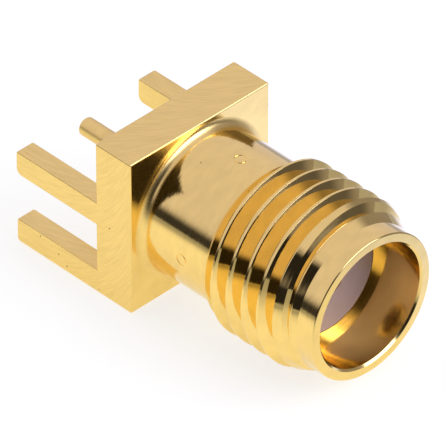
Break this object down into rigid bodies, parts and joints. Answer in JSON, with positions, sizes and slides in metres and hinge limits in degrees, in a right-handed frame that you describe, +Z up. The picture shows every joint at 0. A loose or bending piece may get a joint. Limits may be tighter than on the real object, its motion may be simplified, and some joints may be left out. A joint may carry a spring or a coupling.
{
  "type": "sma connector",
  "caption": "Straight SMA jack for the edge of a circuit board: square flange with board legs, threaded barrel, insulator and slotted centre contact.",
  "frame": {"origin": "on the connector's centre line, in the plane of the flange's back face, where the edge of the board stops and the solder tail leaves the body", "axes": "+Y along the centre line from the mating face towards the board, +X across the pairs of legs, +Z up, away from the pair of lower legs"},
  "size_m": [0.0064, 0.0134, 0.0064],
  "materials": {
    "gold_plated_brass": "machined brass, bright gold plate",
    "ptfe": "natural white PTFE, matt",
    "gold_plated_contact": "turned copper alloy, gold plate"
  },
  "bodies": {
    "root": {"body": "gold_plated_brass", "insulator": "ptfe", "centre_contact": "gold_plated_contact"}
  },
  "joints": []
}
